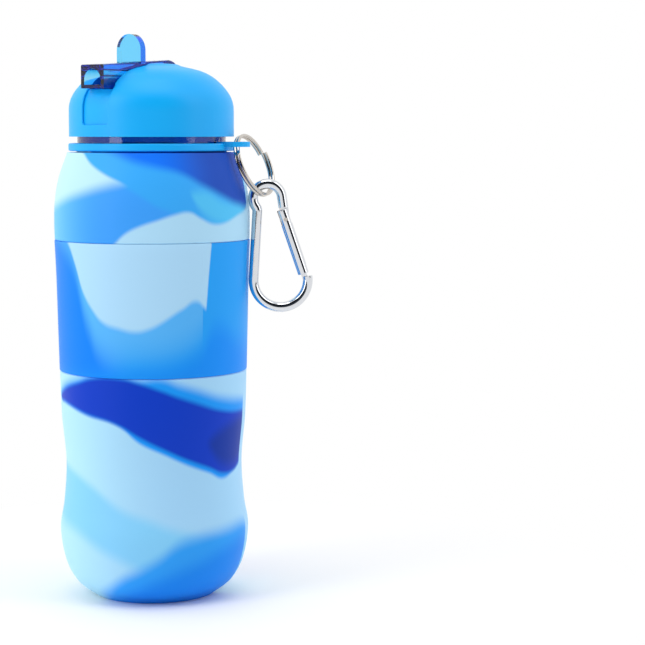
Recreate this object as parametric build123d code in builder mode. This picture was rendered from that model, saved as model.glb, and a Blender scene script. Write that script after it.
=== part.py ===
"""Roll-up silicone water bottle with a flip spout, a lug ring and a snap hook.

Millimetres. The origin is the centre of the flat base, +Z is up, the spout points to -Y.
"""
import os
from math import cos, hypot, radians, sin

from build123d import *

os.makedirs("parts", exist_ok=True)

# ---------------------------------------------------------------- driving sizes
# silicone body
wall = 2.4
base_floor = 3.0
foot_radius = 24.0
side_points = [
    (31.2, 5.6),
    (35.6, 13.8),
    (37.7, 27.0),
    (36.1, 37.6),
    (35.1, 54.0),
    (36.7, 72.5),
    (37.4, 98.0),
    (38.1, 128.0),
    (38.8, 153.0),
    (37.2, 165.6),
]
shoulder_radius = 33.4
shoulder_z = 176.8

# grip band let into the body
band_bottom = 90.4
band_top = 142.4
band_depth = 1.0
band_proud = 0.15

# neck
neck_bore = 24.6
neck_wall = 2.35
neck_top = 196.0
neck_flange_reach = 1.7
neck_flange_height = 2.0
lip_wall = 2.6
lip_height = 3.6
bead_reach = 2.45
bead_height = 3.2
fit_gap = 0.05

# thread between the neck and the cap liner
thread_pitch = 5.0
thread_depth = 1.5
thread_root = 2.4
thread_crest = 1.2
thread_turns = 1.5
thread_start = 186.0
thread_gap = 0.45
liner_thread_turns = 1.2

# collar and lug
collar_radius = 32.9
collar_bottom = 177.4
collar_height = 3.0
lug_angle = 22.0
lug_width = 12.0
lug_thickness = 2.0
lug_rise = 1.1
lug_hole_radius = 3.0
lug_slot = 3.4
lug_hole_out = 3.1
lug_tip_wall = 2.1

# cap
cap_radius = 32.6
cap_bottom = 183.0
cap_straight = 10.0
cap_wall = 2.0
cap_height = 28.7
# the dome: how far in from the skirt, and how far up from the rim
dome_points = [(0.9, 15.0), (3.5, 19.1), (7.6, 23.0), (13.0, 25.8), (20.6, 27.7)]
gasket_height = 1.0
gasket_lap = 1.1
gasket_edge = 0.45
liner_wall = 2.5
liner_top = 1.5
liner_drop = 12.8

# flip spout
pivot_y = 4.0
pivot_z = 206.3
barrel_radius = 6.8
spout_width = 12.2
spout_reach = 33.0
spout_underside = 201.5
spout_face_height = 9.1
duct_width = 8.8
duct_height = 6.1
duct_floor = 1.4
trunnion_radius = 2.0
channel_gap = 0.4
channel_floor = 1.8
cheek_wall = 1.8
tab_width = 12.8
tab_thickness = 2.8
tab_y = -11.4
tab_top = 222.9
seal_radius = 5.8
seal_hole = 3.0
seal_seat = 0.7
panel_width = 13.5
panel_bottom = 187.6
panel_depth = 0.9
panel_round = 0.4

# split ring through the lug
ring_radius = 12.5
ring_wire = 1.3
ring_pitch = 1.36
ring_turns = 2.0
ring_axis_turn = 15.1
ring_axis_rise = 21.1
ring_hang = 44.6

# snap hook
hook_wire = 4.0
hook_turn = 45.0
hook_tilt = 10.3
hook_length = 33.2
hook_bow_radius = 10.8
hook_eye_radius = 5.7
hook_drop = 1.2
hook_shift = 0.25
spine_lean = 13.6
spine_length = 26.8
pinch_radius = 2.6
pinch_turn = 40.0
shank_lean = 2.0
shank_length = 4.4
nose_angle = -2.0
tongue_thickness = 2.0
rivet_radius = 0.8
rivet_drop = 4.9
tongue_round = 1.8
gate_radius = 2.3
gate_bore = 1.5
gate_overhang = 4.0
gate_length = 22.8
gate_slot = 2.4
gate_solid_end = 5.0
nose_tongue_width = 2.2
nose_tongue_thickness = 1.7
nose_tongue_reach = 3.0
spring_wire = 0.4
spring_pitch = 0.9
spring_length = 7.2
plunger_length = 3.0


def inset(points, amount):
    """Shift an outline of (radius, height) points inwards, square to its own run."""
    shifted = []
    for index, point in enumerate(points):
        before = points[max(index - 1, 0)]
        after = points[min(index + 1, len(points) - 1)]
        run = hypot(after[0] - before[0], after[1] - before[1])
        across = (after[1] - before[1]) / run
        along = (after[0] - before[0]) / run
        shifted.append((point[0] - amount * across, point[1] + amount * along))
    return shifted


def radius_at(points, height):
    """Radius of the outline at a height, straight between its points."""
    for lower, upper in zip(points, points[1:]):
        if lower[1] <= height <= upper[1]:
            share = (height - lower[1]) / (upper[1] - lower[1])
            return lower[0] + share * (upper[0] - lower[0])
    return points[-1][0]


def coil(turn_radius, wire, pitch, length):
    """Round wire wound about +Z from the origin upwards, starting on +X."""
    with BuildPart() as winding:
        with BuildLine() as path:
            Helix(pitch=pitch, height=length, radius=turn_radius)
        with BuildSketch(Plane(origin=path.line @ 0, x_dir=(1, 0, 0), z_dir=path.line % 0)):
            Circle(wire / 2)
        sweep(path=path.line, is_frenet=True)
    return winding.part


# ---------------------------------------------------------------- silicone body
# One moulded skin: flat foot, waist, shoulder, and a short lip that the neck insert grips.
body_outline = [(foot_radius, 0.0)] + side_points + [(shoulder_radius, shoulder_z)]
body_inside = [
    (radius - wall, height) for radius, height in side_points if height > base_floor + wall
]
lip_inner = neck_bore + neck_wall + fit_gap
lip_outer = lip_inner + lip_wall
lip_top = shoulder_z + lip_height
roof = shoulder_z - wall
band_heights = [band_bottom + share * (band_top - band_bottom) / 3 for share in range(4)]
band_outline = [(radius_at(side_points, height), height) for height in band_heights]

with BuildPart() as silicone_body:
    with BuildSketch(Plane.XZ):
        with BuildLine():
            Line((0, 0), (foot_radius, 0))
            Spline(body_outline)
            Polyline(
                (shoulder_radius, shoulder_z),
                (lip_outer, shoulder_z),
                (lip_outer, lip_top),
                (0, lip_top),
                (0, 0),
            )
        make_face()
    revolve(axis=Axis.Z)
    with BuildSketch(Plane.XZ):
        with BuildLine():
            Line((0, base_floor), (foot_radius, base_floor))
            Spline([(foot_radius, base_floor)] + body_inside + [(shoulder_radius - wall, roof)])
            Polyline(
                (shoulder_radius - wall, roof),
                (lip_inner, roof),
                (lip_inner, lip_top),
                (0, lip_top),
                (0, base_floor),
            )
        make_face()
    revolve(axis=Axis.Z, mode=Mode.SUBTRACT)
    with BuildSketch(Plane.XZ):
        with BuildLine():
            Spline([(radius - band_depth, height) for radius, height in band_outline])
            Polyline(
                (band_outline[-1][0] - band_depth, band_top),
                (band_outline[-1][0] + wall, band_top),
                (band_outline[0][0] + wall, band_bottom),
                (band_outline[0][0] - band_depth, band_bottom),
            )
        make_face()
    revolve(axis=Axis.Z, mode=Mode.SUBTRACT)
silicone_body.part.label = "silicone_body"
export_step(silicone_body.part, "parts/silicone_body.step")

# ---------------------------------------------------------------- grip band
# A softer sleeve moulded into the recess, a hair proud of the body.
with BuildPart() as grip_band:
    with BuildSketch(Plane.XZ):
        inner = [(radius - band_depth + fit_gap, height) for radius, height in band_outline]
        outer = [(radius + band_proud, height) for radius, height in band_outline]
        inner[0] = (inner[0][0], band_bottom + fit_gap)
        outer[0] = (outer[0][0], band_bottom + fit_gap)
        inner[-1] = (inner[-1][0], band_top - fit_gap)
        outer[-1] = (outer[-1][0], band_top - fit_gap)
        with BuildLine():
            Spline(inner)
            Line(inner[-1], outer[-1])
            Spline(outer)
            Line(outer[0], inner[0])
        make_face()
    revolve(axis=Axis.Z)
grip_band.part.label = "grip_band"
export_step(grip_band.part, "parts/grip_band.step")

# ---------------------------------------------------------------- neck insert
# Hard tube through the lip: a flange below the roof, a bead above the lip, and the thread.
tube_radius = neck_bore + neck_wall
flange_top = roof - fit_gap
bead_bottom = lip_top + 0.1
bead_top = bead_bottom + bead_height

with BuildPart() as neck_insert:
    with BuildSketch(Plane.XZ):
        with BuildLine():
            Polyline(
                (neck_bore, flange_top - neck_flange_height),
                (tube_radius + neck_flange_reach, flange_top - neck_flange_height),
                (tube_radius + neck_flange_reach, flange_top),
                (tube_radius, flange_top),
                (tube_radius, bead_bottom),
                (tube_radius + bead_reach, bead_bottom),
                (tube_radius + bead_reach, bead_top),
                (tube_radius, bead_top),
                (tube_radius, neck_top),
                (neck_bore, neck_top),
                close=True,
            )
        make_face()
    revolve(axis=Axis.Z)
    rim = neck_insert.edges().filter_by(GeomType.CIRCLE).sort_by(Axis.Z)[-2:]
    fillet(rim, 0.5)
    with BuildLine(Plane.XY.offset(thread_start)) as insert_helix:
        Helix(pitch=thread_pitch, height=thread_pitch * thread_turns, radius=tube_radius)
    start = Plane(
        origin=insert_helix.line @ 0,
        x_dir=(1, 0, 0),
        z_dir=insert_helix.line % 0,
    )
    with BuildSketch(start):
        with BuildLine():
            Polyline(
                (-0.3, -thread_root / 2),
                (thread_depth, -thread_crest / 2),
                (thread_depth, thread_crest / 2),
                (-0.3, thread_root / 2),
                close=True,
            )
        make_face()
    sweep(path=insert_helix.line, is_frenet=True)
neck_insert.part.label = "neck_insert"
export_step(neck_insert.part, "parts/neck_insert.step")

# ---------------------------------------------------------------- collar
# Flat ring pressed over the lip, with a tongue-shaped lug for the split ring.
lug_z = collar_bottom + collar_height / 2 + lug_rise
lug_radial = Vector(cos(radians(lug_angle)), sin(radians(lug_angle)), 0)
lug_side = Vector(sin(radians(lug_angle)), -cos(radians(lug_angle)), 0)
lug_hole_reach = cap_radius + lug_hole_out
lug_reach = lug_hole_reach + lug_hole_radius + lug_tip_wall
collar_bore = lip_outer + fit_gap

with BuildPart() as collar:
    with BuildSketch(Plane.XY.offset(collar_bottom)):
        Circle(collar_radius)
    extrude(amount=collar_height)
    fillet(collar.edges().filter_by(GeomType.CIRCLE), 0.7)
    lug_plane = Plane(
        origin=(0, 0, lug_z - lug_thickness / 2),
        x_dir=lug_radial,
        z_dir=(0, 0, 1),
    )
    with BuildSketch(lug_plane):
        with Locations(((lug_reach - lug_width / 2) / 2, 0)):
            Rectangle(lug_reach - lug_width / 2, lug_width)
        with Locations((lug_reach - lug_width / 2, 0)):
            Circle(lug_width / 2)
    extrude(amount=lug_thickness)
    with BuildSketch(Plane.XY.offset(collar_bottom)):
        Circle(collar_bore)
    extrude(amount=2 * collar_height, mode=Mode.SUBTRACT)
    with BuildSketch(Plane.XY.offset(collar_bottom)):
        with Locations(Plane(origin=lug_radial * lug_hole_reach, x_dir=lug_side)):
            SlotCenterToCenter(lug_slot, 2 * lug_hole_radius)
    extrude(amount=2 * collar_height, mode=Mode.SUBTRACT)
collar.part.label = "collar"
export_step(collar.part, "parts/collar.step")

# ---------------------------------------------------------------- cap shell
# Domed shell. Two cheeks and a floor make the channel in which the spout lies.
dome_outline = (
    [(cap_radius, cap_bottom + cap_straight)]
    + [(cap_radius - inwards, cap_bottom + height) for inwards, height in dome_points]
    + [(0.0, cap_bottom + cap_height)]
)
cap_outline = [(cap_radius, cap_bottom)] + dome_outline
cap_inside = inset(dome_outline, cap_wall)
cap_inside[0] = (cap_radius - cap_wall, cap_bottom + cap_straight)
cap_inside[-1] = (0.0, cap_bottom + cap_height - cap_wall)
panel_inside = inset(dome_outline, panel_depth)
panel_inside[0] = (cap_radius - panel_depth, cap_bottom + cap_straight)
panel_inside[-1] = (0.0, cap_bottom + cap_height - panel_depth)

channel_half = spout_width / 2 + channel_gap
floor_top = spout_underside - 0.3
pocket_radius = barrel_radius + channel_gap
channel_back = pivot_y + pocket_radius
cheek_half = channel_half + cheek_wall


def dome(outline):
    """Half section of a dome on a straight skirt, closed along the axis and the rim."""
    with BuildSketch(Plane.XZ) as section:
        with BuildLine():
            Line((0, cap_bottom), (outline[0][0], cap_bottom))
            Line((outline[0][0], cap_bottom), outline[0])
            Spline(outline, tangents=[(0, 1), (-1, 0)])
            Line(outline[-1], (0, cap_bottom))
        make_face()
    return section.sketch


with BuildPart() as cap_cavity:
    revolve(dome(cap_inside), axis=Axis.Z)
    with BuildSketch(Plane.XY.offset(floor_top - channel_floor)):
        with Locations((0, (channel_back + cheek_wall - cap_radius) / 2)):
            Rectangle(2 * cheek_half, channel_back + cheek_wall + cap_radius)
    extrude(amount=cap_height, mode=Mode.SUBTRACT)

with BuildPart() as panel_cut:
    with BuildSketch(Plane.XZ):
        with Locations((0, (panel_bottom + floor_top + 2) / 2)):
            RectangleRounded(panel_width, floor_top + 2 - panel_bottom, 1.2)
    extrude(amount=cap_radius + 1)
    revolve(dome(panel_inside), axis=Axis.Z, mode=Mode.SUBTRACT)

with BuildPart() as cap_shell:
    revolve(dome(dome_outline), axis=Axis.Z)
    add(panel_cut.part, mode=Mode.SUBTRACT)
    # the outer rim of the panel, told from its floor by its distance from the axis
    panel_rim = [
        edge
        for edge in cap_shell.edges(Select.LAST)
        if abs(edge.center().X) < panel_width
        and hypot(edge.center().X, edge.center().Y)
        > radius_at(cap_outline, edge.center().Z) - panel_depth / 3
    ]
    fillet(panel_rim, panel_round)
    add(cap_cavity.part, mode=Mode.SUBTRACT)
    with BuildSketch(Plane.XY.offset(floor_top)):
        with Locations((0, -cap_radius / 2)):
            Rectangle(2 * channel_half, cap_radius + 2 * pivot_y)
    extrude(amount=cap_height, mode=Mode.SUBTRACT)
    with BuildSketch(Plane.XY.offset(pivot_z)):
        with Locations((0, channel_back / 2)):
            Rectangle(2 * channel_half, channel_back)
    extrude(amount=cap_height, mode=Mode.SUBTRACT)
    with BuildSketch(Plane.YZ.offset(-channel_half)):
        with Locations((pivot_y, pivot_z)):
            Circle(pocket_radius)
    extrude(amount=2 * channel_half, mode=Mode.SUBTRACT)
    with BuildSketch(Plane.YZ.offset(-cheek_half)):
        with Locations((pivot_y, pivot_z)):
            Circle(trunnion_radius + fit_gap)
    extrude(amount=2 * cheek_half, mode=Mode.SUBTRACT)
cap_shell.part.label = "cap_shell"
export_step(cap_shell.part, "parts/cap_shell.step")

# ---------------------------------------------------------------- cap liner
# Threaded cup inside the shell; its top carries the spout seal over a small hole.
liner_roof = neck_top + gasket_height
liner_bore = tube_radius + thread_depth + 0.35
liner_outer = cap_radius - cap_wall - fit_gap
liner_crown = liner_bore + 0.1
seal_floor = liner_roof + liner_top - seal_seat

with BuildPart() as cap_liner:
    with BuildSketch(Plane.XZ):
        with BuildLine():
            Polyline(
                (0, liner_roof),
                (liner_bore, liner_roof),
                (liner_bore, liner_roof - liner_drop),
                (liner_outer, liner_roof - liner_drop),
                (liner_outer, cap_bottom + cap_straight),
                (liner_crown, liner_roof + liner_top),
                (0, liner_roof + liner_top),
                close=True,
            )
        make_face()
    revolve(axis=Axis.Z)
    with BuildSketch(Plane.XY.offset(seal_floor)):
        with Locations((0, pivot_y)):
            Circle(seal_radius + fit_gap)
    extrude(amount=liner_top, mode=Mode.SUBTRACT)
    with BuildSketch(Plane.XY.offset(liner_roof)):
        with Locations((0, pivot_y)):
            Circle(seal_hole)
    extrude(amount=liner_top, mode=Mode.SUBTRACT)
    with BuildLine(Plane.XY.offset(thread_start + thread_pitch / 2)) as liner_helix:
        Helix(pitch=thread_pitch, height=thread_pitch * liner_thread_turns, radius=liner_bore)
    start = Plane(
        origin=liner_helix.line @ 0,
        x_dir=(-1, 0, 0),
        z_dir=liner_helix.line % 0,
    )
    tooth_root = thread_pitch - thread_root - 2 * 0.3
    with BuildSketch(start):
        with BuildLine():
            Polyline(
                (-0.3, -tooth_root / 2),
                (thread_depth - thread_gap + 0.35, -thread_crest / 2),
                (thread_depth - thread_gap + 0.35, thread_crest / 2),
                (-0.3, tooth_root / 2),
                close=True,
            )
        make_face()
    sweep(path=liner_helix.line, is_frenet=True)
cap_liner.part.label = "cap_liner"
export_step(cap_liner.part, "parts/cap_liner.step")

# ---------------------------------------------------------------- cap gasket
with BuildPart() as cap_gasket:
    with BuildSketch(Plane.XY.offset(neck_top)):
        Circle(tube_radius + gasket_edge)
        Circle(neck_bore - gasket_lap, mode=Mode.SUBTRACT)
    extrude(amount=gasket_height)
cap_gasket.part.label = "cap_gasket"
export_step(cap_gasket.part, "parts/cap_gasket.step")

# ---------------------------------------------------------------- spout
# Barrel on two trunnions, a flat duct to the front, and the finger tab on top of it.
barrel_top = pivot_z + barrel_radius
duct_bottom = spout_underside + duct_floor

with BuildPart() as spout:
    with BuildSketch(Plane.YZ.offset(-spout_width / 2)):
        with BuildLine():
            Polyline(
                (-spout_reach, spout_underside),
                (-spout_reach, spout_underside + spout_face_height),
                (pivot_y, barrel_top),
                (pivot_y, spout_underside),
                close=True,
            )
        make_face()
        with Locations((pivot_y, pivot_z)):
            Circle(barrel_radius)
    extrude(amount=spout_width)
    long_edges = spout.edges().filter_by(GeomType.LINE).filter_by(Axis.X, reverse=True)
    fillet(long_edges.group_by(SortBy.LENGTH)[-1], 0.8)
    with BuildSketch(Plane.XZ.offset(-tab_y - tab_thickness / 2)):
        with Locations((0, (barrel_top - 2 + tab_top - tab_width / 2) / 2)):
            Rectangle(tab_width, tab_top - tab_width / 2 - barrel_top + 2)
        with Locations((0, tab_top - tab_width / 2)):
            Circle(tab_width / 2)
    extrude(amount=tab_thickness)
    with BuildSketch(Plane.YZ.offset(-cheek_half)):
        with Locations((pivot_y, pivot_z)):
            Circle(trunnion_radius)
    extrude(amount=2 * cheek_half)
    duct_half = duct_width / 2
    duct_spring = duct_bottom + duct_height - duct_half
    with BuildSketch(Plane.XZ.offset(spout_reach)):
        with BuildLine():
            Polyline(
                (-duct_half, duct_spring),
                (-duct_half, duct_bottom),
                (duct_half, duct_bottom),
                (duct_half, duct_spring),
            )
            ThreePointArc(
                (duct_half, duct_spring),
                (0, duct_bottom + duct_height),
                (-duct_half, duct_spring),
            )
        make_face()
    extrude(amount=-(spout_reach + pivot_y + barrel_radius), mode=Mode.SUBTRACT)
spout.part.label = "spout"
export_step(spout.part, "parts/spout.step")

# ---------------------------------------------------------------- spout seal
with BuildPart() as spout_seal:
    with BuildSketch(Plane.XY.offset(seal_floor)):
        with Locations((0, pivot_y)):
            Circle(seal_radius)
            Circle(seal_hole, mode=Mode.SUBTRACT)
    extrude(amount=floor_top - channel_floor - 0.1 - seal_floor)
    with BuildSketch(Plane.YZ.offset(-spout_width)):
        with Locations((pivot_y, pivot_z)):
            Circle(barrel_radius + fit_gap)
    extrude(amount=2 * spout_width, mode=Mode.SUBTRACT)
spout_seal.part.label = "spout_seal"
export_step(spout_seal.part, "parts/spout_seal.step")

# ---------------------------------------------------------------- split ring
# Two turns of round wire, hung through the lug.
ring_turn = radians(ring_axis_turn)
ring_rise = radians(ring_axis_rise)
ring_axis = Vector(
    cos(ring_rise) * cos(ring_turn),
    cos(ring_rise) * sin(ring_turn),
    sin(ring_rise),
)
ring_level = Vector(-sin(ring_turn), cos(ring_turn), 0)
ring_down = ring_level.cross(ring_axis)
hole_centre = lug_radial * lug_hole_reach + Vector(0, 0, lug_z)
ring_hang_dir = ring_down * cos(radians(ring_hang)) + ring_level * sin(radians(ring_hang))
ring_centre = hole_centre + ring_hang_dir * ring_radius
ring_low = ring_centre + ring_down * ring_radius
ring_far = (ring_hang_dir - ring_down).normalized()
ring_rest = ring_centre - ring_axis * (ring_pitch * ring_turns / 2)

ring_place = Plane(origin=ring_rest, x_dir=ring_far, z_dir=ring_axis)

with BuildPart() as split_ring:
    winding = coil(ring_radius, ring_wire, ring_pitch, ring_pitch * ring_turns)
    add(winding.moved(ring_place.location))
split_ring.part.label = "split_ring"
export_step(split_ring.part, "parts/split_ring.step")

# ---------------------------------------------------------------- snap hook
# Bent round wire: bow, spine, pinch, eye and shank, with a flat tongue at each end.
tilt = radians(hook_tilt)
hook_out = Vector(cos(radians(hook_turn)), sin(radians(hook_turn)), 0)
hook_side = Vector(sin(radians(hook_turn)), -cos(radians(hook_turn)), 0)
hook_right = hook_out * cos(tilt) + Vector(0, 0, sin(tilt))
hook_up = hook_out * -sin(tilt) + Vector(0, 0, cos(tilt))
eye_centre = ring_low + hook_right * hook_shift - hook_up * hook_drop
hook_plane = Plane(origin=eye_centre, x_dir=hook_right, z_dir=hook_side)
bow_centre = eye_centre - hook_up * hook_length
nose_out = hook_right * cos(radians(nose_angle)) + hook_up * sin(radians(nose_angle))
nose_heading = hook_right * sin(radians(nose_angle)) - hook_up * cos(radians(nose_angle))
nose = bow_centre + nose_out * hook_bow_radius
bow_turn = 180 + nose_angle + spine_lean
eye_turn = 180 + pinch_turn - spine_lean + shank_lean

with BuildPart() as carabiner_hook:
    with BuildLine(hook_plane) as hook_path:
        bow = JernArc(nose, nose_heading, radius=hook_bow_radius, arc_size=-bow_turn)
        spine = PolarLine(bow @ 1, spine_length, direction=bow % 1)
        pinch = JernArc(spine @ 1, spine % 1, radius=pinch_radius, arc_size=pinch_turn)
        eye = JernArc(pinch @ 1, pinch % 1, radius=hook_eye_radius, arc_size=-eye_turn)
        shank = PolarLine(eye @ 1, shank_length, direction=eye % 1)
    with BuildSketch(Plane(origin=nose, x_dir=hook_side, z_dir=nose_heading)):
        Circle(hook_wire / 2)
    sweep(path=hook_path.line)
    shank_end = shank @ 1
    shank_dir = shank % 1
    rivet_centre = shank_end + shank_dir * rivet_drop
    gate_dir = (nose + nose_out * -1.2 - rivet_centre).normalized()
    gate_across = hook_side.cross(gate_dir)
    shank_side = shank_dir.cross(hook_side)
    tongue_origin = rivet_centre - hook_side * (tongue_thickness / 2)
    with BuildSketch(Plane(origin=tongue_origin, x_dir=shank_dir, z_dir=hook_side)):
        Circle(tongue_round)
        with Locations((-(rivet_drop + 1) / 2, 0)):
            Rectangle(rivet_drop + 1, 2 * tongue_round)
    extrude(amount=tongue_thickness)
    with BuildSketch(Plane(origin=rivet_centre - hook_side * gate_radius, z_dir=hook_side)):
        Circle(rivet_radius + fit_gap)
    extrude(amount=2 * gate_radius, mode=Mode.SUBTRACT)
    tongue_start = rivet_centre + gate_dir * (gate_length - nose_tongue_reach)
    with BuildSketch(Plane(origin=tongue_start, x_dir=gate_across, z_dir=gate_dir)):
        Rectangle(nose_tongue_width, nose_tongue_thickness)
    extrude(amount=nose_tongue_reach + 3)
carabiner_hook.part.label = "carabiner_hook"
export_step(carabiner_hook.part, "parts/carabiner_hook.step")

# ---------------------------------------------------------------- gate
# Tube with a clevis slot at the rivet, a bore for its spring, and a notch for the nose.
gate_top = rivet_centre - gate_dir * gate_overhang
gate_plane = Plane(origin=gate_top, x_dir=gate_across, z_dir=gate_dir)
gate_full = gate_overhang + gate_length
clevis_end = gate_overhang + tongue_round + 0.3
bore_end = gate_full - gate_solid_end

with BuildPart() as carabiner_gate:
    with BuildSketch(gate_plane):
        Circle(gate_radius)
    extrude(amount=gate_full)
    fillet(carabiner_gate.edges().filter_by(GeomType.CIRCLE), 0.3)
    with BuildSketch(gate_plane):
        Rectangle(4 * gate_radius, gate_slot)
    extrude(amount=clevis_end, mode=Mode.SUBTRACT)
    with BuildSketch(gate_plane):
        Circle(gate_bore)
    extrude(amount=bore_end, mode=Mode.SUBTRACT)
    with BuildSketch(Plane(origin=rivet_centre - hook_side * 2 * gate_radius, z_dir=hook_side)):
        Circle(rivet_radius)
    extrude(amount=4 * gate_radius, mode=Mode.SUBTRACT)
    notch_plane = gate_plane.offset(gate_full - nose_tongue_reach - 0.4)
    notch_inner = -nose_tongue_width / 2 - 0.15
    with BuildSketch(notch_plane):
        with Locations((notch_inner + gate_radius, 0)):
            Rectangle(2 * gate_radius, nose_tongue_thickness + 0.4)
    extrude(amount=nose_tongue_reach + 1, mode=Mode.SUBTRACT)
carabiner_gate.part.label = "carabiner_gate"
export_step(carabiner_gate.part, "parts/carabiner_gate.step")

# ---------------------------------------------------------------- gate rivet
with BuildPart() as gate_rivet:
    with BuildSketch(Plane(origin=rivet_centre - hook_side * gate_radius, z_dir=hook_side)):
        Circle(rivet_radius)
    extrude(amount=2 * gate_radius)
gate_rivet.part.label = "gate_rivet"
export_step(gate_rivet.part, "parts/gate_rivet.step")

# ---------------------------------------------------------------- gate spring and plunger
# The spring stands on the bore's floor and pushes the plunger at the hook's tongue.
plunger_start = gate_overhang + tongue_round + 0.15
plunger_radius = gate_bore - 0.1
spring_start = plunger_start + plunger_length + 0.05
spring_radius = gate_bore - 0.1 - spring_wire / 2

with BuildPart() as gate_plunger:
    with BuildSketch(gate_plane.offset(plunger_start)):
        Circle(plunger_radius)
    extrude(amount=plunger_length)
    fillet(gate_plunger.edges().filter_by(GeomType.CIRCLE), 0.3)
gate_plunger.part.label = "gate_plunger"
export_step(gate_plunger.part, "parts/gate_plunger.step")

spring_place = gate_plane.offset(spring_start + spring_wire / 2)

with BuildPart() as gate_spring:
    winding = coil(spring_radius, spring_wire, spring_pitch, spring_length)
    add(winding.moved(spring_place.location))
gate_spring.part.label = "gate_spring"
export_step(gate_spring.part, "parts/gate_spring.step")
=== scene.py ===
"""A roll-up silicone water bottle: marbled body, screw cap, flip spout, ring and snap hook."""
from math import atan2, cos, pi, radians, sin

import bpy
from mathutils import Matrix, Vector


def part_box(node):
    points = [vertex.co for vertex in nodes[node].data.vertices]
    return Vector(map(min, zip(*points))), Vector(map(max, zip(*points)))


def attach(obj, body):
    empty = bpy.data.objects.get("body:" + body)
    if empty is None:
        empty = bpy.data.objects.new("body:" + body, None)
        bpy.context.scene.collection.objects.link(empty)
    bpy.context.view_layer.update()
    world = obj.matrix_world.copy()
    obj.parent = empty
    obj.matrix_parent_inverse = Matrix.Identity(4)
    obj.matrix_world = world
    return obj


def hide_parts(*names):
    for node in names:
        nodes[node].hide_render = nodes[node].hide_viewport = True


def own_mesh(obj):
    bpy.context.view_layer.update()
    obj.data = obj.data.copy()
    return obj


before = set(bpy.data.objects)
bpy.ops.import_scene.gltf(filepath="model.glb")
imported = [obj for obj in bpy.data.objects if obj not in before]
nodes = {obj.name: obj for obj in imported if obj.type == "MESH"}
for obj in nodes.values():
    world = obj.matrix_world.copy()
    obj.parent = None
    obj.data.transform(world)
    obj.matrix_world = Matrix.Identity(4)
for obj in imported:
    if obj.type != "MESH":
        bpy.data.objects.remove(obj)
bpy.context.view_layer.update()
bpy.ops.object.select_all(action="DESELECT")

# ------------------------------------------------------------------ camera and room
# A tabletop studio: a small camera a little above the cap, a white floor that runs off out of
# sight, a soft box on each side in front and one above. The wall behind the camera is dark, which
# gives bright metal its black streaks.
view_turn = radians(43)
view_distance = 0.8
eye_height = 0.1856
look_right = radians(4.86)
look_down = radians(5.5)

towards_camera = Vector((sin(view_turn), -cos(view_turn), 0))
camera_data = bpy.data.cameras.new("studio_camera")
camera_data.lens = 111.6
camera_data.sensor_width = 36
camera = bpy.data.objects.new("studio_camera", camera_data)
camera.location = towards_camera * view_distance + Vector((0, 0, eye_height))
camera.rotation_euler = (pi / 2 - look_down, 0, view_turn - look_right)
bpy.context.collection.objects.link(camera)
bpy.context.scene.camera = camera
bpy.context.scene.view_settings.view_transform = "Standard"


def paint(code):
    """An sRGB hex code as a linear colour with alpha."""
    parts = [int(code[at : at + 2], 16) / 255 for at in (1, 3, 5)]
    return [p / 12.92 if p <= 0.04045 else ((p + 0.055) / 1.055) ** 2.4 for p in parts] + [1.0]


def node(tree, kind, settings=None, links=None):
    """Adds a node, sets its fields, and joins or fills its inputs."""
    item = tree.nodes.new(kind)
    for field, value in (settings or {}).items():
        setattr(item, field, value)
    for socket, source in (links or {}).items():
        if isinstance(source, bpy.types.NodeSocket):
            tree.links.new(source, item.inputs[socket])
        else:
            item.inputs[socket].default_value = source
    return item


def material(name):
    """A new empty material and its node tree."""
    made = bpy.data.materials.new(name)
    made.use_nodes = True
    made.node_tree.nodes.clear()
    return made, made.node_tree


def finish(tree, surface, volume=None):
    """Joins the shaders to the material's output."""
    out = node(tree, "ShaderNodeOutputMaterial", None, {"Surface": surface})
    if volume:
        tree.links.new(volume, out.inputs["Volume"])


world = bpy.data.worlds.new("studio_room")
world.use_nodes = True
room = world.node_tree
room.nodes.clear()
compass = node(room, "ShaderNodeTexCoord")
facing = node(
    room,
    "ShaderNodeVectorMath",
    {"operation": "DOT_PRODUCT"},
    {0: compass.outputs["Generated"], 1: towards_camera},
)
wall = node(room, "ShaderNodeValToRGB", None, {"Fac": facing.outputs["Value"]})
white_end, dark_start, dark_end = 0.34, 0.52, 0.86
wall.color_ramp.elements[0].position = white_end
wall.color_ramp.elements[0].color = paint("#FFFFFF")
wall.color_ramp.elements[1].position = 1.0
wall.color_ramp.elements[1].color = paint("#3A4048")
for share in (dark_start, dark_end):
    wall.color_ramp.elements.new(share).color = paint("#1C2026")
glow = node(room, "ShaderNodeBackground", None, {"Color": wall.outputs["Color"], "Strength": 1.0})
node(room, "ShaderNodeOutputWorld", None, {"Surface": glow.outputs["Background"]})
bpy.context.scene.world = world

bottle_middle = Vector((0, 0, 0.11))


def soft_box(name, turn, rise, far, size, watts):
    """A soft light that looks at the bottle's middle. It stands so many degrees round from the
    camera's side and so many degrees up."""
    lamp = bpy.data.lights.new(name, "AREA")
    lamp.shape = "RECTANGLE"
    lamp.size, lamp.size_y = size
    lamp.energy = watts
    holder = bpy.data.objects.new(name, lamp)
    around = view_turn + radians(turn)
    level = Vector((sin(around), -cos(around), 0)) * cos(radians(rise))
    aim = level + Vector((0, 0, sin(radians(rise))))
    holder.location = aim * far + bottle_middle
    holder.rotation_euler = aim.to_track_quat("Z", "Y").to_euler()
    bpy.context.collection.objects.link(holder)


soft_box("left_soft_box", -56, 24, 0.9, (0.35, 0.9), 3.5)
soft_box("right_soft_box", 62, 30, 0.9, (0.25, 0.9), 1.5)
soft_box("top_soft_box", 10, 78, 0.9, (0.5, 0.5), 1.8)

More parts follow.
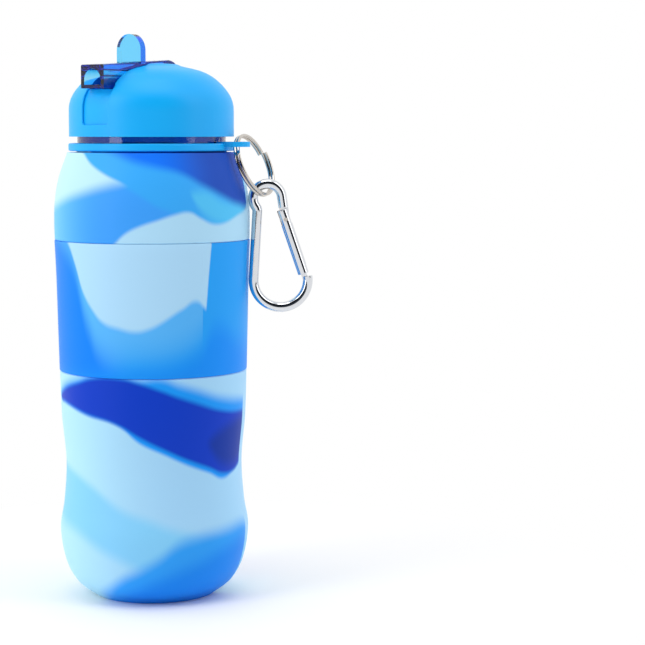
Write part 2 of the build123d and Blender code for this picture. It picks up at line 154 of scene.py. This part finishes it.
# matt paper, an even white that takes a soft shadow; a hand's breadth past the bottle it is lit
# from below, so that it runs into the backdrop with no line
bpy.ops.mesh.primitive_plane_add(size=12, location=(0, 0, 0))
floor = bpy.context.object
floor.name = "floor"
fade_start, fade_end = 0.04, 0.2
paper, tree = material("matt_white_paper")
skin = node(
    tree,
    "ShaderNodeBsdfPrincipled",
    None,
    {"Base Color": paint("#FAFBFC"), "Roughness": 0.7},
)
place = node(tree, "ShaderNodeTexCoord").outputs["Object"]
away = node(tree, "ShaderNodeVectorMath", {"operation": "LENGTH"}, {0: place})
fade = node(
    tree,
    "ShaderNodeMapRange",
    None,
    {"Value": away.outputs["Value"], "From Min": fade_start, "From Max": fade_end},
)
lit = node(tree, "ShaderNodeEmission", None, {"Color": paint("#FFFFFF"), "Strength": 1.0})
blend = node(
    tree,
    "ShaderNodeMixShader",
    None,
    {0: fade.outputs["Result"], 1: skin.outputs["BSDF"], 2: lit.outputs["Emission"]},
)
finish(tree, blend.outputs["Shader"])
floor.data.materials.append(paper)

# ------------------------------------------------------------------ silicone body
# One moulded skin of platinum silicone, two to three millimetres thick, marbled by pressing
# three blues into one mould. Its foot, waist and shoulder let it roll up when it is empty.
mm = 0.001
sleeve_low, sleeve_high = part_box("grip_band")
body_low, body_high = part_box("silicone_body")
skin_wall = 2.4 * mm
skin_floor = 3.0 * mm
lip_inner = 27.0 * mm
lip_outer = 29.6 * mm
lip_round = 0.4 * mm
shoulder_top = body_high[2] - 3.6 * mm
sleeve_foot = sleeve_low[2]
sleeve_head = sleeve_high[2]
groove = 0.5 * mm
groove_round = 0.45 * mm
groove_side = 0.3 * mm
recess_depth = 1.0 * mm
sleeve_gap = 0.05 * mm
# the side's outline: radius and height in millimetres, from the foot to the shoulder
side = [
    (24.0, 0.0),
    (31.2, 5.6),
    (35.6, 13.8),
    (37.7, 27.0),
    (36.1, 37.6),
    (35.1, 54.0),
    (36.7, 72.5),
    (37.4, 98.0),
    (38.1, 128.0),
    (38.8, 153.0),
    (37.2, 165.6),
    (33.4, 176.8),
]
side = [(radius * mm, up * mm) for radius, up in side]


def curve_through(points, steps):
    """A smooth line of points through the given ones, with evenly eased runs between them."""
    line = []
    last = len(points) - 1
    for index in range(last):
        p0 = Vector(points[max(index - 1, 0)])
        p1 = Vector(points[index])
        p2 = Vector(points[index + 1])
        p3 = Vector(points[min(index + 2, last)])
        near = (p2 - p1).length
        before = max((p1 - p0).length, 1e-9)
        after = max((p3 - p2).length, 1e-9)
        m1 = (p2 - p0) * (near / (near + before)) if index else p2 - p1
        m2 = (p3 - p1) * (near / (near + after)) if index < last - 1 else p2 - p1
        for step in range(steps):
            t = step / steps
            line.append(
                p1 * (2 * t**3 - 3 * t**2 + 1)
                + m1 * (t**3 - 2 * t**2 + t)
                + p2 * (3 * t**2 - 2 * t**3)
                + m2 * (t**3 - t**2)
            )
    line.append(Vector(points[-1]))
    return [tuple(point) for point in line]


def radius_at(line, up):
    """Radius of a line of (radius, height) points at a height."""
    for lower, upper in zip(line, line[1:]):
        if lower[1] <= up <= upper[1]:
            share = (up - lower[1]) / (upper[1] - lower[1])
            return lower[0] + share * (upper[0] - lower[0])
    return line[-1][0]


def turn_on_axis(name, outline, steps=192):
    """Draws a closed outline point by point and spins it once round the bottle's axis."""
    bpy.ops.object.select_all(action="DESELECT")
    bpy.ops.mesh.primitive_plane_add(size=0.01, location=(0, 0, 0))
    piece = bpy.context.object
    piece.name = name
    piece.data.name = name
    bpy.ops.object.mode_set(mode="EDIT")
    bpy.ops.mesh.select_all(action="SELECT")
    bpy.ops.mesh.merge(type="CENTER")
    start_radius, start_up = outline[0]
    bpy.ops.transform.translate(value=(start_radius, 0, start_up))
    for before, after in zip(outline, outline[1:] + outline[:1]):
        step = (after[0] - before[0], 0, after[1] - before[1])
        bpy.ops.mesh.extrude_region_move(TRANSFORM_OT_translate={"value": step})
    bpy.ops.mesh.select_all(action="SELECT")
    bpy.ops.mesh.spin(steps=steps, angle=2 * pi, center=(0, 0, 0), axis=(0, 0, 1))
    bpy.ops.mesh.select_all(action="SELECT")
    bpy.ops.mesh.remove_doubles(threshold=1e-6)
    bpy.ops.mesh.normals_make_consistent(inside=False)
    bpy.ops.object.mode_set(mode="OBJECT")
    bpy.ops.object.shade_smooth_by_angle(angle=radians(35))
    return piece


# The marbling is laid out on a map of the bottle's side: across it the way round, with the side
# that faces the camera in the middle, and up it the height of the filled bottle.
map_height = 200 * mm


def turn_of(spot):
    """The turn of a spot round the axis, 0 on the camera's side."""
    sideways = Vector((-towards_camera.y, towards_camera.x))
    return atan2(spot.xy.dot(sideways), spot.xy.dot(towards_camera.xy))


def lay_map(piece):
    """UVs: u is the turn, from the back of the bottle, and v the height."""
    layer = piece.data.uv_layers.new(name="round")
    for face in piece.data.polygons:
        face_turn = turn_of(face.center)
        for corner in face.loop_indices:
            spot = piece.data.vertices[piece.data.loops[corner].vertex_index].co
            turn = turn_of(spot) if spot.xy.length > 1e-6 else face_turn
            turn -= 2 * pi * round((turn - face_turn) / (2 * pi))
            layer.data[corner].uv = (0.5 + turn / (2 * pi), spot.z / map_height)


full_side = curve_through(side, 6)
below = [point for point in full_side if point[1] < sleeve_foot - groove]
above = [point for point in full_side if point[1] > sleeve_head + groove]
recess_low = radius_at(full_side, sleeve_foot) - recess_depth
recess_high = radius_at(full_side, sleeve_head) - recess_depth
inner_side = curve_through([(r - skin_wall, up) for r, up in side[2:-1]], 4)
outline = (
    [(0.0, 0.0)]
    + below
    + [
        (radius_at(full_side, sleeve_foot - groove_side), sleeve_foot - groove_round),
        (radius_at(full_side, sleeve_foot) - groove_side, sleeve_foot - sleeve_gap),
        (recess_low, sleeve_foot - sleeve_gap),
        (recess_high, sleeve_head + sleeve_gap),
        (radius_at(full_side, sleeve_head) - groove_side, sleeve_head + sleeve_gap),
        (radius_at(full_side, sleeve_head + groove_side), sleeve_head + groove_round),
    ]
    + above
    + [
        (lip_outer + lip_round, shoulder_top),
        (lip_outer, shoulder_top + lip_round),
        (lip_outer, body_high[2]),
        (lip_inner, body_high[2]),
        (lip_inner, shoulder_top - skin_wall),
    ]
    + list(reversed(inner_side))
    + [(side[0][0], skin_floor), (0.0, skin_floor)]
)
body = turn_on_axis("marbled_body", outline)
lay_map(body)


def edge_line(tree, turn, points):
    """The height of a colour's edge all the way round, from (degrees, millimetres) points."""
    edge = node(tree, "ShaderNodeFloatCurve", None, {"Value": turn})
    curve = edge.mapping.curves[0]
    shares = [(0.5 + degrees / 360, up * mm / map_height) for degrees, up in points]
    curve.points[0].location = (0.0, shares[0][1])
    curve.points[1].location = (1.0, shares[-1][1])
    for share, up in shares:
        if 0.001 < share < 0.999:
            curve.points.new(share, up)
    edge.mapping.use_clip = False
    edge.mapping.update()
    return edge.outputs["Value"]


def swirl(tree, spot, under, over, low, high, low_blur, high_blur, ends=()):
    """Lays one blue over another between a lower and an upper edge line, each as soft as it is in
    the mould. An end is where the blue stops on its way round: its degrees, its softness, and the
    degrees it leans for each millimetre up."""
    turn, up = spot
    limits = []
    if low:
        line = edge_line(tree, turn, low)
        rise = node(tree, "ShaderNodeMath", {"operation": "SUBTRACT"}, {0: up, 1: line})
        blur = low_blur * mm / map_height
        limits.append((rise.outputs[0], -blur, blur))
    if high:
        line = edge_line(tree, turn, high)
        rise = node(tree, "ShaderNodeMath", {"operation": "SUBTRACT"}, {0: line, 1: up})
        blur = high_blur * mm / map_height
        limits.append((rise.outputs[0], -blur, blur))
    for degrees, blur, lean in ends:
        slant = lean * map_height / mm / 360
        lean_by = node(tree, "ShaderNodeMath", {"operation": "MULTIPLY"}, {0: up, 1: slant})
        links = {0: turn, 1: lean_by.outputs[0]}
        past = node(tree, "ShaderNodeMath", {"operation": "SUBTRACT"}, links)
        limits.append((past.outputs[0], 0.5 + (degrees + blur) / 360, 0.5 + (degrees - blur) / 360))
    cover = None
    for value, start, end in limits:
        eased = node(
            tree,
            "ShaderNodeMapRange",
            {"interpolation_type": "SMOOTHSTEP"},
            {"Value": value, "From Min": start, "From Max": end},
        ).outputs["Result"]
        if cover:
            links = {0: cover, 1: eased}
            eased = node(tree, "ShaderNodeMath", {"operation": "MULTIPLY"}, links).outputs[0]
        cover = eased
    mix = node(tree, "ShaderNodeMix", {"data_type": "RGBA"}, {0: cover, 6: under, 7: over})
    return mix.outputs[2]


def change_over(tree, value, start, end, first, second):
    """One colour that eases into another as a value goes from start to end."""
    share = node(
        tree,
        "ShaderNodeMapRange",
        {"interpolation_type": "SMOOTHSTEP"},
        {"Value": value, "From Min": start, "From Max": end},
    )
    links = {0: share.outputs["Result"], 6: first, 7: second}
    return node(tree, "ShaderNodeMix", {"data_type": "RGBA"}, links).outputs[2]


def round_map(tree):
    """The turn and height of a spot. The height wanders 2 mm, in waves 30 mm long, so that no
    edge is ruled."""
    wander = 4 * mm
    place = node(tree, "ShaderNodeUVMap", {"uv_map": "round"})
    split = node(tree, "ShaderNodeSeparateXYZ", None, {"Vector": place.outputs["UV"]})
    wave = node(
        tree,
        "ShaderNodeTexNoise",
        {"noise_dimensions": "3D"},
        {
            "Vector": node(tree, "ShaderNodeTexCoord").outputs["Object"],
            "Scale": 1 / (30 * mm),
            "Detail": 1.0,
        },
    )
    off = node(tree, "ShaderNodeMath", {"operation": "SUBTRACT"}, {0: wave.outputs["Fac"], 1: 0.5})
    links = {0: off.outputs[0], 1: wander / map_height}
    push = node(tree, "ShaderNodeMath", {"operation": "MULTIPLY"}, links)
    links = {0: split.outputs["Y"], 1: push.outputs[0]}
    height = node(tree, "ShaderNodeMath", {"operation": "ADD"}, links)
    return split.outputs["X"], height.outputs[0]


def silicone(tree, colour_source, line_turns):
    """Moulded platinum silicone: satin, with a fine moulded grain of about a third of a
    millimetre, and the hair line where the mould's halves met."""
    line_degrees = 0.35
    grain_share = 0.15
    grain = node(
        tree,
        "ShaderNodeTexNoise",
        None,
        {
            "Vector": node(tree, "ShaderNodeTexCoord").outputs["Object"],
            "Scale": 1 / (0.35 * mm),
            "Detail": 2.0,
        },
    )
    rough = node(
        tree,
        "ShaderNodeMapRange",
        None,
        {"Value": grain.outputs["Fac"], "To Min": 0.40, "To Max": 0.50},
    )
    place = node(tree, "ShaderNodeUVMap", {"uv_map": "round"})
    split = node(tree, "ShaderNodeSeparateXYZ", None, {"Vector": place.outputs["UV"]})
    links = {0: grain.outputs["Fac"], 1: grain_share}
    relief = node(tree, "ShaderNodeMath", {"operation": "MULTIPLY"}, links)
    for degrees in line_turns:
        links = {0: split.outputs["X"], 1: 0.5 + degrees / 360}
        off = node(tree, "ShaderNodeMath", {"operation": "SUBTRACT"}, links)
        gap = node(tree, "ShaderNodeMath", {"operation": "ABSOLUTE"}, {0: off.outputs[0]})
        ridge = node(
            tree,
            "ShaderNodeMapRange",
            {"interpolation_type": "SMOOTHSTEP"},
            {"Value": gap.outputs[0], "From Min": line_degrees / 360, "From Max": 0.0},
        )
        links = {0: relief.outputs[0], 1: ridge.outputs["Result"]}
        relief = node(tree, "ShaderNodeMath", {"operation": "ADD"}, links)
    bump = node(
        tree,
        "ShaderNodeBump",
        None,
        {"Height": relief.outputs[0], "Distance": 0.06 * mm, "Strength": 0.5},
    )
    skin = node(
        tree,
        "ShaderNodeBsdfPrincipled",
        None,
        {
            "Base Color": colour_source,
            "Roughness": rough.outputs["Result"],
            "Normal": bump.outputs["Normal"],
            "Specular IOR Level": 0.2,
            "IOR": 1.41,
        },
    )
    return skin.outputs["BSDF"]


marbled, tree = material("marbled_platinum_silicone")
spot = round_map(tree)
turn, up = spot
cyan = paint("#8AD5FF")
azure = paint("#2AA5FF")
royal = paint("#003CC8")
ice = paint("#C0ECFF")

# the lower half: a pale ground with a cyan sash, a blue corner at the foot and a royal sweep
lower = change_over(tree, turn, 0.28, 0.55, paint("#B6E9FF"), paint("#A9DCFF"))
lower = swirl(
    tree, spot, lower, cyan,
    [
        (-180, 38), (-87, 32), (-52, 28), (-36, 24), (-22, 20), (-10, 16), (20, 8), (60, 4),
        (120, 6), (180, 38),
    ],
    [
        (-180, 60), (-87, 55), (-45, 48), (-23, 40), (-3, 35), (8, 32), (28, 28), (60, 24),
        (120, 22), (180, 60),
    ],
    4, 3,
)
lower = swirl(
    tree, spot, lower, paint("#30A4FF"),
    None,
    [
        (-180, -6), (-67, -4), (-34, 7), (-20, 13), (-10, 16), (3, 21), (14, 26), (28, 28),
        (50, 29), (72, 29), (180, -6),
    ],
    0, 4, [(73, 0.4, 0)],
)
lower = swirl(
    tree, spot, lower, paint("#148DF8"),
    None,
    [
        (-180, -8), (-67, -8), (-34, 0), (-20, 5), (-10, 8), (3, 12), (14, 15), (28, 18),
        (50, 22), (72, 24), (180, -8),
    ],
    0, 5, [(73, 0.4, 0)],
)
sweep_low = [
    (-180, 100), (-92, 90), (-80, 80), (-70, 79), (-61, 78), (-43, 75), (-22, 72), (-9, 68),
    (3, 64), (22, 58), (38, 54), (49, 51), (61, 51), (72, 54), (90, 60), (180, 100),
]
sweep_high = [
    (-180, 60), (-92, 74), (-80, 81), (-69, 84), (-51, 88), (-41, 90), (-21, 91), (-9, 89),
    (4, 86), (15, 83), (35, 79), (72, 75), (90, 74), (180, 60),
]
lower = swirl(
    tree, spot, lower, paint("#149CFF"),
    [(degrees, up - (2.2 if -12 < degrees < 58 else 0.3)) for degrees, up in sweep_low],
    [(degrees, up + (1.6 if degrees < 0 else 5.0)) for degrees, up in sweep_high],
    1.2, 3.0, [(72.6, 0.3, 0)],
)
lower = swirl(tree, spot, lower, royal, sweep_low, sweep_high, 1.4, 1.6, [(72.4, 0.3, 0)])
lower = swirl(
    tree, spot, lower, paint("#0436A4"),
    [(-180, 100), (20, 80), (38, 62), (49, 55), (61, 54), (72, 56), (90, 60), (180, 100)],
    [(-180, 0), (20, 50), (38, 66), (49, 70), (61, 72), (72, 73), (90, 74), (180, 0)],
    4, 4, [(72.4, 0.3, 0)],
)
# the far side of the lower half: one more royal sweep and an azure drift
lower = swirl(
    tree, spot, lower, azure,
    [
        (-180, 46), (-150, 40), (-120, 60), (-100, 96), (0, 100), (95, 96), (110, 70), (140, 52),
        (180, 46),
    ],
    [
        (-180, 74), (-150, 62), (-120, 66), (-100, 70), (0, 40), (95, 70), (110, 84), (140, 84),
        (180, 74),
    ],
    2, 5,
)
lower = swirl(
    tree, spot, lower, royal,
    [
        (-180, 22), (-150, 30), (-125, 60), (-110, 100), (0, 100), (100, 100), (118, 20),
        (150, 12), (180, 22),
    ],
    [
        (-180, 42), (-150, 36), (-125, 40), (-110, 10), (0, 0), (100, 10), (118, 34), (150, 44),
        (180, 42),
    ],
    1.5, 3,
)

# the shoulder: azure with an ice patch, a royal cap under the collar and a pale bank below
upper = change_over(tree, turn, 0.26, 0.42, paint("#70CAFF"), paint("#3FA2FF"))
upper = swirl(
    tree, spot, upper, paint("#3CAEFF"),
    [
        (-180, 170), (-40, 170), (-18, 165), (-7, 161), (2, 157), (13, 154), (28, 150), (72, 150),
        (120, 160), (180, 170),
    ],
    None, 1.6, 0,
)
upper = swirl(
    tree, spot, upper, paint("#54C8FF"),
    [(-180, 180), (10, 176), (30, 154), (45, 150), (72, 150), (100, 160), (180, 180)],
    [(-180, 150), (10, 158), (30, 163), (45, 159), (72, 156), (100, 150), (180, 150)],
    3, 3,
)
upper = swirl(
    tree, spot, upper, paint("#B4E3FF"),
    None,
    [
        (-180, 160), (-120, 146), (-60, 134), (-34, 137), (-23, 142), (-16, 146), (-7, 149),
        (1, 151), (13, 153.5), (22, 154), (28, 152), (38, 150), (56, 152), (72, 156), (78, 172),
        (95, 172), (140, 150), (180, 160),
    ],
    0, 1.3,
)
upper = swirl(
    tree, spot, upper, ice,
    [
        (-180, 184), (-130, 160), (-90, 155), (-75, 157), (-57, 159.5), (-39, 162.5), (-25, 165),
        (-15, 167), (20, 182), (180, 184),
    ],
    [
        (-180, 176), (-130, 190), (-90, 186), (-55, 178), (-42, 172.5), (-29, 168.5), (-15, 165),
        (20, 150), (180, 176),
    ],
    3.5, 1.0,
)
crown = change_over(tree, turn, 0.50, 0.62, paint("#1478FF"), paint("#1C50BE"))
upper = swirl(
    tree, spot, upper, crown,
    [
        (-180, 184), (-60, 184), (-34, 178), (-14, 174), (2, 172), (17, 170), (32, 165),
        (48, 160), (60, 157), (72, 156), (90, 165), (180, 184),
    ],
    None, 2.6, 0, [(73, 0.4, 0)],
)
upper = swirl(
    tree, spot, upper, paint("#1E63DC"),
    [(-180, 158), (-150, 166), (-120, 182), (0, 190), (110, 182), (140, 164), (180, 158)],
    None, 2.5, 0,
)
whole = change_over(tree, up, 0.55, 0.6, lower, upper)
finish(tree, silicone(tree, whole, (73, -107)))
body.data.materials.append(marbled)
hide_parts("silicone_body")
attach(body, "bottle")
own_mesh(body)

# ------------------------------------------------------------------ grip band
# A sleeve of softer silicone moulded into the body's recess, a hair proud of it, with rounded
# edges. It is azure with a pale shield that ends at its own mould line.
sleeve_steps = 14
proud = 0.15 * mm
sleeve_marks = [
    sleeve_foot + (sleeve_head - sleeve_foot) * step / sleeve_steps
    for step in range(sleeve_steps + 1)
]
sleeve_out = [(radius_at(full_side, mark) + proud, mark) for mark in sleeve_marks]
# its rounded edges: how far in from the side, and how far from the end
edge_round = [(0.35 * mm, sleeve_gap), (0.1 * mm, 0.14 * mm), (0.0, 0.4 * mm)]
outline = (
    [(sleeve_out[0][0] - inwards, sleeve_foot + along) for inwards, along in edge_round]
    + sleeve_out[1:-1]
    + [(sleeve_out[-1][0] - inwards, sleeve_head - along) for inwards, along in edge_round[::-1]]
    + [(recess_high + sleeve_gap, sleeve_head - sleeve_gap)]
    + [(recess_low + sleeve_gap, sleeve_foot + sleeve_gap)]
)
band = turn_on_axis("grip_sleeve", outline)
lay_map(band)
sleeve, tree = material("soft_azure_silicone")
spot = round_map(tree)
turn, up = spot
hue = change_over(tree, turn, 0.40, 0.47, paint("#0084FF"), paint("#22A4FF"))
hue = swirl(
    tree, spot, hue, paint("#58B8FF"),
    [
        (-180, 150), (-60, 140), (-42, 112), (-30, 100), (-10, 100), (10, 101), (26, 106),
        (32, 112), (50, 140), (180, 150),
    ],
    None, 9, 0, [(30.2, 0.3, 0)],
)
hue = swirl(
    tree, spot, hue, paint("#0C92FF"),
    None,
    [(-180, 90), (-60, 90), (-20, 94), (28, 100), (40, 110), (60, 104), (90, 100), (180, 90)],
    0, 7,
)
hue = swirl(
    tree, spot, hue, paint("#B2E0FF"),
    [
        (-180, 160), (-75, 150), (-58, 142), (-51, 134), (-45, 124), (-38, 117), (-30, 112),
        (-20, 110), (-10, 109), (-2, 110), (5, 112), (17, 117), (26, 120), (32, 117), (40, 115),
        (60, 115), (120, 150), (180, 160),
    ],
    None, 1.6, 0, [(18.5, 0.5, 0.12)],
)
hue = swirl(
    tree, spot, hue, paint("#A6D8FF"),
    [
        (-180, 120), (-150, 104), (-125, 118), (-100, 160), (0, 170), (95, 160), (120, 124),
        (150, 126), (180, 120),
    ],
    None, 3, 0,
)
finish(tree, silicone(tree, hue, (30, -150)))
band.data.materials.append(sleeve)
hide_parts("grip_band")
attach(band, "bottle")
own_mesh(band)

# ------------------------------------------------------------------ neck insert
# A threaded tube of clear dark-blue polycarbonate, clamped in the silicone lip. Light goes into
# it, so it is bright where it is thin and nearly black-blue where one looks along it.


def clear_blue(name, thickness_colour, density, roughness):
    """Injection-moulded clear plastic: smooth, with faint flow waves about 6 mm apart."""
    made, tree = material(name)
    flow = node(
        tree,
        "ShaderNodeTexNoise",
        None,
        {
            "Vector": node(tree, "ShaderNodeTexCoord").outputs["Object"],
            "Scale": 1 / (6 * mm),
            "Detail": 1.0,
        },
    )
    bump = node(
        tree,
        "ShaderNodeBump",
        None,
        {"Height": flow.outputs["Fac"], "Distance": 0.2 * mm, "Strength": 0.25},
    )
    rough = node(
        tree,
        "ShaderNodeMapRange",
        None,
        {"Value": flow.outputs["Fac"], "To Min": roughness, "To Max": roughness * 1.5},
    )
    glassy = node(
        tree,
        "ShaderNodeBsdfPrincipled",
        None,
        {
            "Base Color": paint("#E8F4FF"),
            "Roughness": rough.outputs["Result"],
            "Normal": bump.outputs["Normal"],
            "IOR": 1.5,
            "Transmission Weight": 1.0,
        },
    )
    dye = node(
        tree,
        "ShaderNodeVolumeAbsorption",
        None,
        {"Color": paint(thickness_colour), "Density": density},
    )
    finish(tree, glassy.outputs["BSDF"], dye.outputs["Volume"])
    return made


def refinish(name, finish_material):
    """Gives a machine-shaped piece its finish."""
    piece = nodes[name]
    piece.data.materials.clear()
    piece.data.materials.append(finish_material)


refinish("neck_insert", clear_blue("clear_blue_polycarbonate", "#00B8E5", 600, 0.06))

# ------------------------------------------------------------------ collar, cap shell and liner
# Injection-moulded polypropylene, bright azure, with the satin of a fine spark-eroded mould.
# The liner inside is the same plastic without the dye.


def moulded(name, code, shade, roughness):
    """Moulded plastic: an even colour with soft shifts 25 mm wide, and a half-millimetre grain
    that gives it a satin face."""
    spread = 0.05
    made, tree = material(name)
    place = node(tree, "ShaderNodeTexCoord").outputs["Object"]
    drift = node(
        tree,
        "ShaderNodeTexNoise",
        None,
        {"Vector": place, "Scale": 1 / (25 * mm), "Detail": 1.0},
    )
    tint = node(
        tree,
        "ShaderNodeMix",
        {"data_type": "RGBA"},
        {0: drift.outputs["Fac"], 6: paint(code), 7: paint(shade)},
    )
    grain = node(
        tree,
        "ShaderNodeTexNoise",
        None,
        {"Vector": place, "Scale": 1 / (0.5 * mm), "Detail": 3.0},
    )
    rough = node(
        tree,
        "ShaderNodeMapRange",
        None,
        {"Value": grain.outputs["Fac"], "To Min": roughness - spread, "To Max": roughness + spread},
    )
    bump = node(
        tree,
        "ShaderNodeBump",
        None,
        {"Height": grain.outputs["Fac"], "Distance": 0.02 * mm, "Strength": 0.35},
    )
    skin = node(
        tree,
        "ShaderNodeBsdfPrincipled",
        None,
        {
            "Base Color": tint.outputs[2],
            "Roughness": rough.outputs["Result"],
            "Normal": bump.outputs["Normal"],
            "Specular IOR Level": 0.3,
            "IOR": 1.49,
        },
    )
    finish(tree, skin.outputs["BSDF"])
    return made


azure_plastic = moulded("satin_azure_polypropylene", "#02AAFB", "#0AB6FF", 0.42)
plain_plastic = moulded("undyed_polypropylene", "#DCE9F2", "#E6F0F6", 0.42)
refinish("collar", azure_plastic)
refinish("cap_shell", azure_plastic)
refinish("cap_liner", plain_plastic)

# ------------------------------------------------------------------ gasket and spout seal
# The gasket is cut from silicone sheet and the spout's saddle seal is moulded, both undyed and
# milky. They are nipped between the hard parts and hardly show.
clear_rubber = moulded("undyed_seal_silicone", "#E4EEF2", "#D6E4EA", 0.5)
refinish("cap_gasket", clear_rubber)
refinish("spout_seal", clear_rubber)

# ------------------------------------------------------------------ flip spout
# Spout and finger tab in one clear blue polycarbonate moulding, on two stub pins that snap into
# the cap's cheeks. The dye is pale in the thin tab and deep along the barrel.
refinish("spout", clear_blue("clear_blue_spout", "#2CE8FE", 560, 0.05))

# ------------------------------------------------------------------ ring and snap hook
# The split ring is nickel-plated spring wire. The hook is bent from polished wire and its gate
# from polished tube, with a drawn steel spring and plunger inside. Handling dulls all of them.


def bright_metal(name, code, roughness, line_gap):
    """Polished or plated metal: a mirror broken by fine marks a fraction of a millimetre apart,
    and duller in patches about 4 mm across."""
    made, tree = material(name)
    place = node(tree, "ShaderNodeTexCoord").outputs["Object"]
    marks = node(
        tree,
        "ShaderNodeTexNoise",
        None,
        {"Vector": place, "Scale": 1 / line_gap, "Detail": 4.0, "Distortion": 0.4},
    )
    wear = node(
        tree,
        "ShaderNodeTexNoise",
        None,
        {"Vector": place, "Scale": 1 / (4 * mm), "Detail": 2.0},
    )
    rough = node(
        tree,
        "ShaderNodeMapRange",
        None,
        {"Value": wear.outputs["Fac"], "To Min": roughness * 0.6, "To Max": roughness * 1.6},
    )
    bump = node(
        tree,
        "ShaderNodeBump",
        None,
        {"Height": marks.outputs["Fac"], "Distance": 0.01 * mm, "Strength": 0.2},
    )
    skin = node(
        tree,
        "ShaderNodeBsdfPrincipled",
        None,
        {
            "Base Color": paint(code),
            "Metallic": 1.0,
            "Roughness": rough.outputs["Result"],
            "Normal": bump.outputs["Normal"],
        },
    )
    finish(tree, skin.outputs["BSDF"])
    return made


nickel = bright_metal("nickel_plated_wire", "#C9C3BC", 0.10, 0.4 * mm)
polished = bright_metal("polished_bare_metal", "#DADCE0", 0.07, 0.5 * mm)
drawn = bright_metal("drawn_spring_steel", "#9A9CA0", 0.25, 0.2 * mm)
refinish("split_ring", nickel)
refinish("carabiner_hook", polished)
refinish("carabiner_gate", polished)
refinish("gate_rivet", nickel)
refinish("gate_spring", drawn)
refinish("gate_plunger", drawn)
